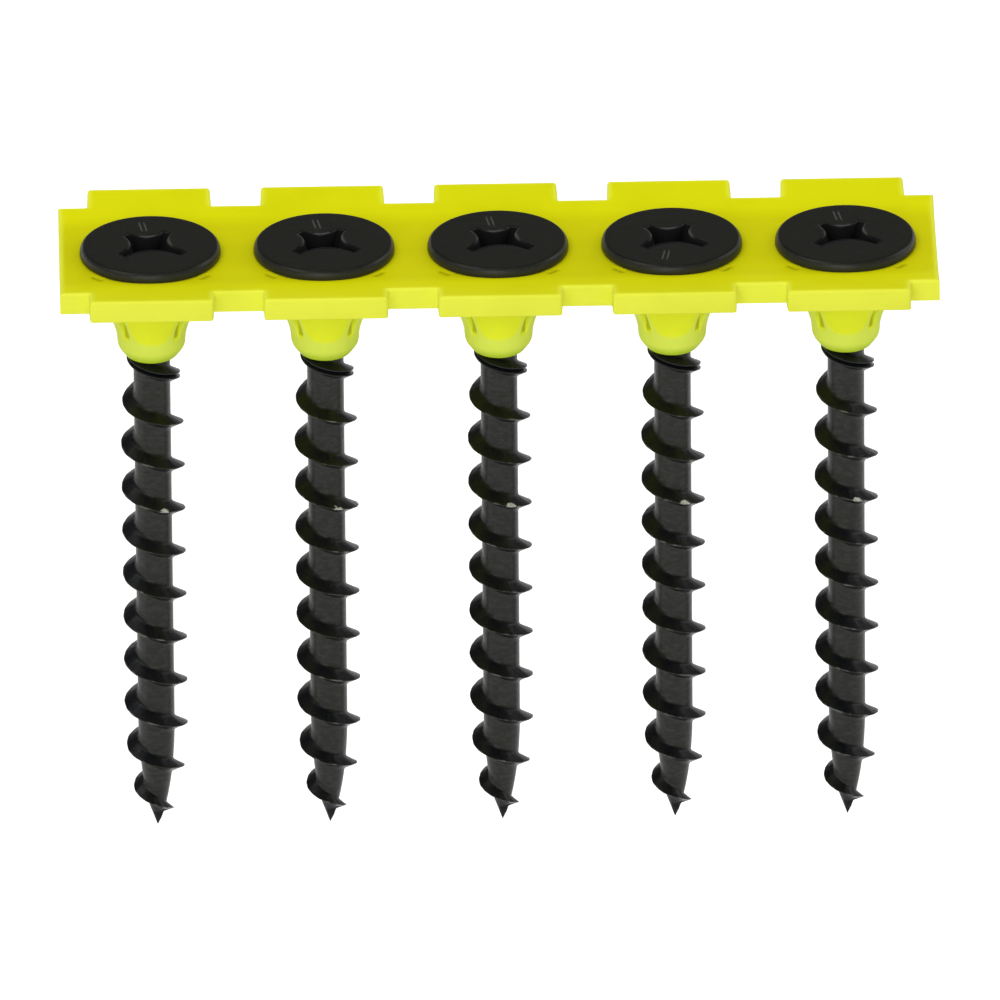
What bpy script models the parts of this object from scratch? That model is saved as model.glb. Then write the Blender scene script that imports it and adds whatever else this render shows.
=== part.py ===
"""Collated wood screws: five coarse-thread bugle-head screws in one moulded feed strip.

Metres, +Z up. The strip runs along X and the screws point down. The origin lies on the middle
screw's axis, level with the underside of the strip's flat middle.
"""

import math

import bmesh
import bpy
from mathutils import Vector

MM = 0.001

# Row of screws
SCREW_COUNT = 5
SPACING = 10.2 * MM
HINGE_Z = 1.0 * MM
HINGE_GAP = 0.3 * MM

# Screw head
SCREW_LENGTH = 38.0 * MM
HEAD_TOP_Z = 2.0 * MM
HEAD_RADIUS = 4.15 * MM
HEAD_FACE_RADIUS = 3.79 * MM
HEAD_EDGE_DROP = 0.34 * MM
HEAD_RIM = 0.5 * MM
BUGLE_DEPTH = 4.7 * MM
BUGLE_POWER = 1.9
BUGLE_RINGS = 5
NECK_RADIUS = 1.08 * MM
HEAD_SIDES = 28

# Cross recess: one row per level, as depth, wing reach, half wing width and inner corner reach
RECESS_LEVELS = (
    (-0.30 * MM, 2.25 * MM, 0.42 * MM, 1.10 * MM),
    (1.60 * MM, 1.30 * MM, 0.28 * MM, 0.74 * MM),
    (2.30 * MM, 0.60 * MM, 0.20 * MM, 0.46 * MM),
)
RECESS_TURN = math.radians(50.0)
RECESS_WINGS = 4

# Thread: +1 winds it left-handed, as pictured, and -1 right-handed
THREAD_TURN = 1.0
THREAD_PITCH = 2.82 * MM
THREAD_RADIUS = 1.87 * MM
ROOT_RADIUS = 1.08 * MM
CREST_WIDTH = 0.08 * MM
FLANK_SLOPE = 0.53
THREAD_START_Z = -5.8 * MM
THREAD_END_Z = -35.0 * MM
THREAD_PHASE_Z = -9.5 * MM
START_SHARE = 0.45
RUN_IN_TURNS = 1.4
STEPS_PER_TURN = HEAD_SIDES // 2
NECK_FOOT_Z = -4.9 * MM

# Gimlet point: where each outline starts to fall, and the two powers of its curve
ROOT_POINT_Z = -28.5 * MM
ROOT_POINT_POWERS = (2.3, 0.8)
CREST_POINT_Z = -27.5 * MM
CREST_POINT_POWERS = (1.7, 0.55)

# Strip
STRIP_THICKNESS = 1.35 * MM
FLAT_HALF = 3.6 * MM
WING_SLOPE = 0.1625
BAND_HALF = 5.9 * MM
TAB_REACH = 7.75 * MM
TAB_ROOT_HALF = 3.66 * MM
TAB_TIP_HALF = 3.60 * MM
TAB_CORNER = 0.2 * MM
CORNER_STEPS = 3
END_OVERHANG = 5.35 * MM
HOLE_RADIUS = 4.35 * MM
HOLE_SIDES = 32
NOTCH_RADIUS = 4.6 * MM

# Split collar under each hole
COLLAR_SIDES = 24
COLLAR_TOP_Z = 1.0 * MM
COLLAR_MOUTH = 4.25 * MM
COLLAR_WAIST = 1.98 * MM
COLLAR_WAIST_Z = -4.3 * MM
COLLAR_FOOT = 1.4 * MM
COLLAR_FOOT_Z = -5.0 * MM
COLLAR_FLARE_POWER = 1.6
COLLAR_FLARE_STEPS = 4
COLLAR_FOOT_STEPS = 3
COLLAR_CLEARANCE = 0.15 * MM
WINDOW_COUNT = 4
WINDOW_HALF_ANGLE = math.radians(9.5)
WINDOW_FOOT_Z = -3.8 * MM
WINDOW_INNER = 2.0 * MM

# Distance that a cutter runs past the faces it cuts
OVERRUN = 1.0 * MM

RIM_Z = HEAD_TOP_Z - HEAD_RIM
NECK_Z = RIM_Z - BUGLE_DEPTH
TIP_Z = HEAD_TOP_Z - SCREW_LENGTH
SHARP_ANGLE = math.radians(35.0)


def material(name, colour, roughness, metallic):
    """A Principled material with one colour."""
    made = bpy.data.materials.new(name)
    made.use_nodes = True
    shader = made.node_tree.nodes["Principled BSDF"]
    shader.inputs["Base Color"].default_value = (*colour, 1.0)
    shader.inputs["Roughness"].default_value = roughness
    shader.inputs["Metallic"].default_value = metallic
    return made


def object_from(name, mesh):
    """A named object around a mesh, linked into the scene."""
    made = bpy.data.objects.new(name, mesh)
    bpy.context.scene.collection.objects.link(made)
    return made


def mesh_from(name, bm):
    """A mesh from a bmesh whose faces are first turned to point out."""
    bmesh.ops.recalc_face_normals(bm, faces=bm.faces)
    mesh = bpy.data.meshes.new(name)
    bm.to_mesh(mesh)
    bm.free()
    return mesh


def polar(radius, angle, z):
    """A point on a circle about the Z axis."""
    return Vector((radius * math.cos(angle), radius * math.sin(angle), z))


def bridge(bm, upper, lower):
    """Quads between two rings of as many points."""
    count = len(upper)
    for i in range(count):
        after = (i + 1) % count
        bm.faces.new((upper[i], lower[i], lower[after], upper[after]))


def ring(bm, radius, z, sides, start):
    """A ring of points about the Z axis."""
    angles = (start + THREAD_TURN * math.tau * i / sides for i in range(sides))
    return [bm.verts.new(polar(radius, angle, z)) for angle in angles]


def prism(name, corners, travel):
    """A closed solid: the polygon through the corners, swept along a vector."""
    bm = bmesh.new()
    base = bm.faces.new([bm.verts.new(corner) for corner in corners])
    swept = bmesh.ops.extrude_face_region(bm, geom=[base])["geom"]
    moved = [item for item in swept if isinstance(item, bmesh.types.BMVert)]
    bmesh.ops.translate(bm, verts=moved, vec=travel)
    return object_from(name, mesh_from(name, bm))


def cut(body, cutters, operation="DIFFERENCE"):
    """Adds one Boolean for each cutter, and marks the cutters as guides."""
    for cutter in cutters:
        step = body.modifiers.new(cutter.name, "BOOLEAN")
        step.operation = operation
        step.solver = "EXACT"
        step.object = cutter
        cutter.hide_render = True
        cutter.display_type = "WIRE"


def applied(body, cutters):
    """The body's mesh with its Booleans applied; the body and the cutters are removed."""
    evaluated = body.evaluated_get(bpy.context.evaluated_depsgraph_get())
    mesh = bpy.data.meshes.new_from_object(evaluated)
    for used in (body, *cutters):
        bpy.data.objects.remove(used)
    return mesh


def bugle_radius(z):
    """Radius of the trumpet under the rim: a power curve from the neck out to the rim."""
    share = (z - NECK_Z) / (RIM_Z - NECK_Z)
    return NECK_RADIUS + (HEAD_RADIUS - NECK_RADIUS) * share**BUGLE_POWER


def pointed(radius, start_z, powers, z):
    """A radius that holds down to start_z, then falls to nothing at the tip."""
    share = min(max((start_z - z) / (start_z - TIP_Z), 0.0), 1.0)
    return radius * (1.0 - share ** powers[0]) ** powers[1]


def root_radius(z):
    """Radius of the core between the ridges of the thread."""
    return pointed(ROOT_RADIUS, ROOT_POINT_Z, ROOT_POINT_POWERS, z)


def thread_angle(z):
    """Direction in which the crest lies at height z; it faces +X at the phase height."""
    return THREAD_TURN * math.tau * (THREAD_PHASE_Z - z) / THREAD_PITCH


def ridge_section(step):
    """Corners of the ridge at one step: core above, crest above, crest below, core below."""
    turns = step / STEPS_PER_TURN
    z = THREAD_START_Z - THREAD_PITCH * turns
    angle = thread_angle(z)
    run_in = min(1.0, START_SHARE + (1.0 - START_SHARE) * turns / RUN_IN_TURNS)
    crest = pointed(THREAD_RADIUS, CREST_POINT_Z, CREST_POINT_POWERS, z)
    height = (crest - root_radius(z)) * run_in
    half_crest = CREST_WIDTH / 2
    half_base = half_crest + height * FLANK_SLOPE
    crest = root_radius(z) + height
    return (
        polar(root_radius(z + half_base), angle, z + half_base),
        polar(crest, angle, z + half_crest),
        polar(crest, angle, z - half_crest),
        polar(root_radius(z - half_base), angle, z - half_base),
    )


def add_thread(bm, neck):
    """The threaded core from the neck ring to the tip, as one helical skin.

    Each step along the helix has four corners. The lowest corner joins the highest corner of the
    turn below it, so the ridge and the core between its turns are one surface.
    """
    last = round((THREAD_START_Z - THREAD_END_Z) / THREAD_PITCH * STEPS_PER_TURN)
    turn = STEPS_PER_TURN
    rows = [[bm.verts.new(p) for p in ridge_section(step)] for step in range(last + 1)]
    tip = bm.verts.new((0.0, 0.0, TIP_Z))

    for here, after in zip(rows, rows[1:]):
        for k in range(3):
            bm.faces.new((here[k], here[k + 1], after[k + 1], after[k]))
    for i in range(last - turn):
        bm.faces.new((rows[i][3], rows[i + turn][0], rows[i + turn + 1][0], rows[i + 1][3]))

    # The neck ring meets the first turn, and the last gap there holds the start of the ridge
    for i in range(turn - 1):
        bm.faces.new((neck[i], rows[i][0], rows[i + 1][0], neck[i + 1]))
    seam = (rows[turn - 1][0], rows[turn][0], rows[0][3], rows[0][0], neck[0])
    for here, after in zip(seam, seam[1:]):
        bm.faces.new((neck[turn - 1], here, after))
    bm.faces.new(rows[0])

    # The last turn closes on the tip in the same way
    for i in range(last - turn + 1, last):
        bm.faces.new((rows[i][3], rows[i + 1][3], tip))
    seam = (rows[last - turn][3], rows[last][0], rows[last][3], tip)
    for here, after in zip(seam, seam[1:]):
        bm.faces.new((rows[last - turn + 1][3], here, after))
    bm.faces.new(rows[last])


def recess_cutter():
    """The driver's cross: a twelve-cornered outline that narrows as it goes down."""
    bm = bmesh.new()
    levels = []
    for depth, reach, half_width, inner in RECESS_LEVELS:
        points = []
        for wing in range(RECESS_WINGS):
            along = RECESS_TURN + math.tau * wing / RECESS_WINGS
            spread = math.atan2(half_width, reach)
            length = math.hypot(reach, half_width)
            z = HEAD_TOP_Z - depth
            points.append(polar(length, along - spread, z))
            points.append(polar(length, along + spread, z))
            points.append(polar(inner, along + math.pi / RECESS_WINGS, z))
        levels.append([bm.verts.new(point) for point in points])
    for upper, lower in zip(levels, levels[1:]):
        bridge(bm, upper, lower)
    bm.faces.new(levels[0])
    bm.faces.new(levels[-1])
    return object_from("recess_cutter", mesh_from("recess_cutter", bm))


def screw_mesh():
    """One screw about its own axis: bugle head, neck, thread, point and cross recess."""
    bm = bmesh.new()
    start = thread_angle(THREAD_START_Z)
    outline = [
        (HEAD_FACE_RADIUS, HEAD_TOP_Z),
        (HEAD_RADIUS, HEAD_TOP_Z - HEAD_EDGE_DROP),
        (HEAD_RADIUS, RIM_Z),
    ]
    for i in range(1, BUGLE_RINGS + 1):
        z = RIM_Z - BUGLE_DEPTH * i / BUGLE_RINGS
        outline.append((bugle_radius(z), z))
    rings = [ring(bm, radius, z, HEAD_SIDES, start) for radius, z in outline]
    for upper, lower in zip(rings, rings[1:]):
        bridge(bm, upper, lower)
    bm.faces.new(rings[0])

    # Half as many sides from the neck down
    neck = ring(bm, ROOT_RADIUS, NECK_FOOT_Z, STEPS_PER_TURN, start)
    above = rings[-1]
    for i in range(STEPS_PER_TURN):
        after = (i + 1) % STEPS_PER_TURN
        bm.faces.new((above[2 * i], neck[i], neck[after], above[2 * after], above[2 * i + 1]))
    add_thread(bm, neck)

    blank = object_from("screw_blank", mesh_from("screw_blank", bm))
    cutter = recess_cutter()
    cut(blank, [cutter])
    return applied(blank, [cutter])


def rounded(corners, radius):
    """A closed outline whose named corners are arcs: each corner is a point and a flag."""
    points = []
    count = len(corners)
    for i, (corner, is_round) in enumerate(corners):
        here = Vector(corner)
        if not is_round:
            points.append(here)
            continue
        back = (Vector(corners[i - 1][0]) - here).normalized()
        ahead = (Vector(corners[(i + 1) % count][0]) - here).normalized()
        half = back.angle(ahead) / 2
        centre = here + (back + ahead).normalized() * radius / math.sin(half)
        first = here + back * radius / math.tan(half) - centre
        last = here + ahead * radius / math.tan(half) - centre
        for k in range(CORNER_STEPS + 1):
            points.append(centre + radius * first.slerp(last, k / CORNER_STEPS))
    return points


def wing_rise(y):
    """How far the strip's wings rise above its flat middle, at a distance y from the axis."""
    return max(0.0, abs(y) - FLAT_HALF) * WING_SLOPE


def window_wedges(name, inner, outer, low, high):
    """Four wedges on the diagonals, where the collar is grooved to split and the hole is notched."""
    wedges = []
    for i in range(WINDOW_COUNT):
        middle = math.tau * (i + 0.5) / WINDOW_COUNT
        left = middle - WINDOW_HALF_ANGLE
        right = middle + WINDOW_HALF_ANGLE
        corners = (
            polar(inner, left, low),
            polar(outer, left, low),
            polar(outer, right, low),
            polar(inner, right, low),
        )
        wedges.append(prism(f"{name}_{i}", corners, (0.0, 0.0, high - low)))
    return wedges


def carrier_mesh(left_end, right_end):
    """One length of strip about its screw's axis: band, two tabs and the notched hole."""
    plan = [
        ((right_end, -BAND_HALF), False),
        ((right_end, BAND_HALF), False),
        ((TAB_ROOT_HALF, BAND_HALF), False),
        ((TAB_TIP_HALF, TAB_REACH), True),
        ((-TAB_TIP_HALF, TAB_REACH), True),
        ((-TAB_ROOT_HALF, BAND_HALF), False),
        ((left_end, BAND_HALF), False),
        ((left_end, -BAND_HALF), False),
        ((-TAB_ROOT_HALF, -BAND_HALF), False),
        ((-TAB_TIP_HALF, -TAB_REACH), True),
        ((TAB_TIP_HALF, -TAB_REACH), True),
        ((TAB_ROOT_HALF, -BAND_HALF), False),
    ]
    low = -OVERRUN
    high = STRIP_THICKNESS + wing_rise(TAB_REACH) + OVERRUN
    outline = [(x, y, low) for x, y in rounded(plan, TAB_CORNER)]
    body = prism("carrier_blank", outline, (0.0, 0.0, high - low))

    edge = TAB_REACH + OVERRUN
    across = (-edge, -FLAT_HALF, FLAT_HALF, edge)
    start = left_end - OVERRUN
    section = [(start, y, wing_rise(y)) for y in across]
    section += [(start, y, wing_rise(y) + STRIP_THICKNESS) for y in reversed(across)]
    channel = prism("channel", section, (right_end - left_end + 2 * OVERRUN, 0.0, 0.0))
    cut(body, [channel], "INTERSECT")

    circle = [
        polar(HOLE_RADIUS, math.tau * i / HOLE_SIDES, low) for i in range(HOLE_SIDES)
    ]
    hole = prism("hole", circle, (0.0, 0.0, high - low))
    notches = window_wedges("notch", WINDOW_INNER, NOTCH_RADIUS, low, high)
    cut(body, [hole, *notches])
    return applied(body, [channel, hole, *notches])


def collar_outline():
    """The collar's wall as a closed outline of radius and height, down the outside first."""
    outline = [(COLLAR_MOUTH, COLLAR_TOP_Z)]
    for i in range(COLLAR_FLARE_STEPS):
        share = 1.0 - i / COLLAR_FLARE_STEPS
        flare = (COLLAR_MOUTH - COLLAR_WAIST) * share**COLLAR_FLARE_POWER
        outline.append((COLLAR_WAIST + flare, COLLAR_WAIST_Z * (1.0 - share)))
    for i in range(COLLAR_FOOT_STEPS + 1):
        turn = math.pi / 2 * i / COLLAR_FOOT_STEPS
        radius = COLLAR_FOOT + (COLLAR_WAIST - COLLAR_FOOT) * math.cos(turn)
        outline.append((radius, COLLAR_WAIST_Z + (COLLAR_FOOT_Z - COLLAR_WAIST_Z) * math.sin(turn)))
    bore = NECK_RADIUS + COLLAR_CLEARANCE
    outline.append((bore, COLLAR_FOOT_Z))
    for i in range(BUGLE_RINGS):
        z = NECK_Z + (COLLAR_TOP_Z - NECK_Z) * i / (BUGLE_RINGS - 1)
        outline.append((bugle_radius(z) + COLLAR_CLEARANCE, z))
    return outline


def collar_mesh():
    """One split collar about its screw's axis: four fingers on a gripping ring.

    The grooves between the fingers deepen upwards, and only under the plate do they cut right through.
    """
    bm = bmesh.new()
    rings = [ring(bm, radius, z, COLLAR_SIDES, 0.0) for radius, z in collar_outline()]
    for upper, lower in zip(rings, rings[1:] + rings[:1]):
        bridge(bm, upper, lower)
    body = object_from("collar_blank", mesh_from("collar_blank", bm))
    windows = window_wedges(
        "window", WINDOW_INNER, COLLAR_MOUTH + OVERRUN, WINDOW_FOOT_Z, COLLAR_TOP_Z + OVERRUN
    )
    cut(body, windows)
    return applied(body, windows)


def place(name, mesh, pivot, x):
    """An object on its screw's axis, carried by its pocket's pivot."""
    made = object_from(name, mesh)
    made.parent = pivot
    made.location = Vector((x, 0.0, 0.0)) - pivot.location


def pivot_x(number):
    """Where a pocket's web bends: halfway to the neighbour nearer the middle screw."""
    offset = number - (SCREW_COUNT + 1) // 2
    inwards = (offset < 0) - (offset > 0)
    return SPACING * (offset + inwards / 2)


def build():
    """Builds the five pockets and their screws from left to right."""
    for old in list(bpy.data.objects):
        bpy.data.objects.remove(old)

    steel = material("black_phosphate_steel", (0.016, 0.016, 0.017), 0.42, 0.6)
    strip = material("yellow_strip_plastic", (0.68, 0.66, 0.015), 0.38, 0.0)
    soft = material("yellow_collar_plastic", (0.72, 0.80, 0.04), 0.42, 0.0)

    joined = (SPACING - HINGE_GAP) / 2
    screw = screw_mesh()
    collar = collar_mesh()
    middle = carrier_mesh(-joined, joined)
    first = carrier_mesh(-END_OVERHANG, joined)
    last = carrier_mesh(-joined, END_OVERHANG)
    for mesh, coat in ((screw, steel), (collar, soft), (middle, strip), (first, strip), (last, strip)):
        mesh.materials.clear()
        mesh.materials.append(coat)
        mesh.shade_smooth()
        mesh.set_sharp_from_angle(angle=SHARP_ANGLE)

    for number in range(1, SCREW_COUNT + 1):
        x = SPACING * (number - (SCREW_COUNT + 1) // 2)
        pivot = object_from(f"pocket_pivot_{number}", None)
        pivot.location = (pivot_x(number), 0.0, HINGE_Z)
        carrier = {1: first, SCREW_COUNT: last}.get(number, middle)
        place(f"carrier_{number}", carrier, pivot, x)
        place(f"collar_{number}", collar, pivot, x)
        place(f"screw_{number}", screw, pivot, x)


build()
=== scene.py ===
"""Looks of a feed strip of five collated wood screws: black screws in a moulded yellow strip.

Every piece is a closed surface worked out with numpy in millimetres and written to its mesh in metres.
The strip hangs as a feed track holds it, with the screws pointing down, over a pale studio floor.
"""

import logging
import math
from dataclasses import dataclass, field
from enum import Enum

import bpy
import numpy as np
from mathutils import Matrix, Vector
from numpy.typing import NDArray


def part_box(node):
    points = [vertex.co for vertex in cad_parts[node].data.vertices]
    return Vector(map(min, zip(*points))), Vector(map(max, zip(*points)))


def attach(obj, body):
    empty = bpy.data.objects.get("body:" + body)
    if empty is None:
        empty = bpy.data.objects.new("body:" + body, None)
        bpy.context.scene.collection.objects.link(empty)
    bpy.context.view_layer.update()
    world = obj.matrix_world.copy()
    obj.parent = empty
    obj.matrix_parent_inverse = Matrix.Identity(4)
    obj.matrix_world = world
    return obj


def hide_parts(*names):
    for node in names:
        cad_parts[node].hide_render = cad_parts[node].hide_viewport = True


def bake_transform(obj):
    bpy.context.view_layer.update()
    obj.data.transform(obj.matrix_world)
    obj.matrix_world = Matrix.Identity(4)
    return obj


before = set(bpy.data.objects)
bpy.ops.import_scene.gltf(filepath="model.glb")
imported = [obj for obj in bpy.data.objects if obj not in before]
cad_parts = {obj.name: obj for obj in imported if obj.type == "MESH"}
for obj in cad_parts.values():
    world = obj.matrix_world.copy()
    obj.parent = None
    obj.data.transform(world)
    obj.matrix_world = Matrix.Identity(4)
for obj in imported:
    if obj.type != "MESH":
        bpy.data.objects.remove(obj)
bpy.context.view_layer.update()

Floats = NDArray[np.float64]
Counts = NDArray[np.int64]
Span = tuple[float, float]
Colour = tuple[float, float, float, float]
Paint = Colour | bpy.types.NodeSocket

MM = 0.001
TURN = 2.0 * math.pi
TINY = 1e-6
WHITE = (1.0, 1.0, 1.0, 1.0)
NOISE_SPREAD = (0.25, 0.75)
LEAST_STEP_SHARE = 0.2
SHARP_DEGREES = 40.0
SCREW_COUNT = 5
FRONT_GROOVE_SCREW = 4
LOG = logging.getLogger("screw_strip")


class Slot(Enum):
    """The record's material slots."""

    SCREW = "black_steel"
    STRIP = "yellow_strip"
    COLLAR = "yellow_collar"


class Side(Enum):
    """The two long sides of the strip, as the sign of Y."""

    FRONT = -1.0
    BACK = 1.0


def eased(share: Floats) -> Floats:
    """Returns 0 to 1 eased at both ends: s * s * (3 - 2 s)."""
    held = np.clip(share, 0.0, 1.0)
    return held * held * (3.0 - 2.0 * held)


def filleted(corners: Floats, cuts: Floats, steps: int) -> Floats:
    """Rounds the inner corners of an open outline.

    Each corner C becomes the curve (1-t)^2 A + 2t(1-t) C + t^2 B, where A and B lie the corner's cut
    away from it on its two edges.

    Args:
        corners: outline points, one row each.
        cuts: how far each inner corner is cut back along both edges.
        steps: curve points for each inner corner.

    Returns:
        The rounded outline, one row a point.
    """
    legs = np.diff(corners, axis=0)
    ways = legs / np.linalg.norm(legs, axis=1, keepdims=True)
    before = corners[1:-1] - ways[:-1] * cuts[:, None]
    after = corners[1:-1] + ways[1:] * cuts[:, None]
    t = np.linspace(0.0, 1.0, steps)[None, :, None]
    curves = (1 - t) ** 2 * before[:, None] + 2 * t * (1 - t) * corners[1:-1, None] + t**2 * after[:, None]
    return np.concatenate([corners[:1], curves.reshape(-1, corners.shape[1]), corners[-1:]])


def densified(outline: Floats, spacing: float) -> Floats:
    """Adds points along an open outline so that neighbours lie at most about `spacing` apart.

    An added point that lies closer than a share of the spacing after another is left out.

    Args:
        outline: the outline's own points, which are kept.
        spacing: widest step in millimetres.

    Returns:
        The outline with the added points, read along its length.
    """
    length = np.concatenate([[0.0], np.cumsum(np.linalg.norm(np.diff(outline, axis=0), axis=1))])
    stops = np.unique(np.round(np.concatenate([length, np.arange(0.0, length[-1], spacing)]), 4))
    clear = np.concatenate([[True], np.diff(stops) > LEAST_STEP_SHARE * spacing])
    kept = stops[clear | np.isin(stops, np.round(length, 4))]
    return np.stack([np.interp(kept, length, outline[:, axis]) for axis in range(outline.shape[1])], axis=1)


def band_quads(first: Counts, second: Counts) -> Counts:
    """Returns the quads between two open rows of points, facing out when `second` lies below or outside."""
    return np.stack([first[:-1], second[:-1], second[1:], first[1:]], axis=-1).reshape(-1, 4)


def ring_quads(first: Counts, second: Counts) -> Counts:
    """Returns the quads between two closed rows of points, facing out as band_quads does."""
    turned = [np.roll(row, -1, axis=-1) for row in (second, first)]
    return np.stack([first, second, *turned], axis=-1).reshape(-1, 4)


def fan(pivot: int, chain: Counts) -> Counts:
    """Returns the triangles from one point to each step of a chain of points."""
    return np.stack([np.full(len(chain) - 1, pivot), chain[:-1], chain[1:]], axis=-1)


@dataclass
class Surface:
    """A closed surface: points in millimetres, faces as rows of point numbers, and marks on each point.

    The mark "tone" runs from -1, painted shade and on a screw also the darker point, through 0 to 1, painted
    glints on steel and a painted glow on plastic. On a screw the wear mark is 1 where the coat rubs off in
    patches along the crests, which also paints their glints, and "own" is the point's place about the
    screw's own axis.
    """

    points: Floats
    quads: Counts
    triangles: Counts
    marks: dict[str, Floats]

    @classmethod
    def of_rings(cls, rings: Floats, tone: Floats, axis_x: float) -> "Surface":
        """Closes rings of points into one skin, the last ring meeting the first.

        Args:
            rings: rings by columns by X, Y and Z, about the screw's axis.
            tone: the tone of each point.
            axis_x: where the axis stands along the strip.

        Returns:
            The surface at its place in the strip.
        """
        grid = np.arange(tone.size).reshape(tone.shape)
        quads = ring_quads(grid, np.roll(grid, -1, axis=0))
        points = rings.reshape(-1, 3) + np.array([axis_x, 0.0, 0.0])
        return cls(points, quads, np.empty((0, 3), dtype=int), {"tone": tone.ravel()})

    def to_object(self, name: str, material: bpy.types.Material) -> bpy.types.Object:
        """Writes the surface into a mesh object at the origin, smooth but for its sharp edges.

        Args:
            name: the piece's name.
            material: its finish.

        Returns:
            The linked object.
        """
        mesh = bpy.data.meshes.new(name)
        mesh.from_pydata((self.points * MM).tolist(), [], self.quads.tolist() + self.triangles.tolist())
        for mark, values in self.marks.items():
            kind, key = ("FLOAT", "value") if values.ndim == 1 else ("FLOAT_VECTOR", "vector")
            mesh.attributes.new(mark, kind, "POINT").data.foreach_set(key, values.astype(np.float32).ravel())
        mesh.shade_smooth()
        mesh.set_sharp_from_angle(angle=math.radians(SHARP_DEGREES))
        mesh.materials.append(material)
        piece = bpy.data.objects.new(name, mesh)
        bpy.context.scene.collection.objects.link(piece)
        LOG.info("%s: %d points, %d faces", name, len(mesh.vertices), len(mesh.polygons))
        return piece


@dataclass
class NodeSheet:
    """A shader's node tree, with one call to add a node, set it and wire its inputs."""

    tree: bpy.types.NodeTree

    def add(self, kind: str, inputs: dict | None = None, **settings: object) -> bpy.types.Node:
        """Adds a node.

        Args:
            kind: Blender's node type.
            inputs: a value or another node's output socket for each input, by name or number.
            **settings: the node's own properties.

        Returns:
            The new node.
        """
        node = self.tree.nodes.new(kind)
        for key, value in settings.items():
            setattr(node, key, value)
        for key, value in (inputs or {}).items():
            if isinstance(value, bpy.types.NodeSocket):
                self.tree.links.new(value, node.inputs[key])
            else:
                node.inputs[key].default_value = value
        return node

    def noise(self, where: bpy.types.NodeSocket, scale: float, detail: float) -> bpy.types.NodeSocket:
        """Returns a noise value around 0.5 with `scale` features a metre."""
        node = self.add("ShaderNodeTexNoise", {"Vector": where, "Scale": scale, "Detail": detail})
        return node.outputs[0]

    def ranged(self, value: bpy.types.NodeSocket, source: Span, target: Span) -> bpy.types.NodeSocket:
        """Returns the value carried from one range to another and held there."""
        ends = dict(enumerate((*source, *target), start=1))
        return self.add("ShaderNodeMapRange", {0: value, **ends}).outputs[0]

    def mixed(
        self, share: bpy.types.NodeSocket, first: Paint, second: Paint, blend: str = "MIX"
    ) -> bpy.types.NodeSocket:
        """Returns two colours mixed by a share; either may be a colour or a socket."""
        colours = {0: share, 6: first, 7: second}
        return self.add("ShaderNodeMix", colours, data_type="RGBA", blend_type=blend).outputs[2]

    def math(self, operation: str, *values: bpy.types.NodeSocket | float) -> bpy.types.NodeSocket:
        """Returns the result of one of Blender's math operations."""
        return self.add("ShaderNodeMath", dict(enumerate(values)), operation=operation).outputs[0]

    def mark(self, name: str) -> bpy.types.Node:
        """Returns the node that reads one of the mesh's marks."""
        return self.add("ShaderNodeAttribute", attribute_name=name)

    def toned(self, colour: bpy.types.NodeSocket, deep: Colour, thin_glow: Colour) -> bpy.types.NodeSocket:
        """Returns the colour carried towards a painted glow where the mesh's tone is above 0, and towards
        painted shade below.
        """
        tone = self.mark("tone").outputs["Fac"]
        raised = self.mixed(self.ranged(tone, (0.0, 1.0), (0.0, 1.0)), colour, thin_glow)
        return self.mixed(self.ranged(tone, (0.0, -1.0), (0.0, 1.0)), raised, deep)


def new_material(name: str) -> tuple[bpy.types.Material, NodeSheet]:
    """Returns a new material and its emptied node sheet."""
    material = bpy.data.materials.new(name)
    material.use_nodes = True
    material.node_tree.nodes.clear()
    return material, NodeSheet(material.node_tree)


def srgb(red: int, green: int, blue: int) -> Colour:
    """Returns the linear colour of an 8-bit screen colour."""
    screen = np.array([red, green, blue]) / 255.0
    linear = np.where(screen <= 0.04045, screen / 12.92, ((screen + 0.055) / 1.055) ** 2.4)
    return (*linear.tolist(), 1.0)


class Ramp(Enum):
    """What a plastic's colour follows: the distance from the strip's middle line, or the depth under it."""

    ACROSS = 1
    DEPTH = 2


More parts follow.
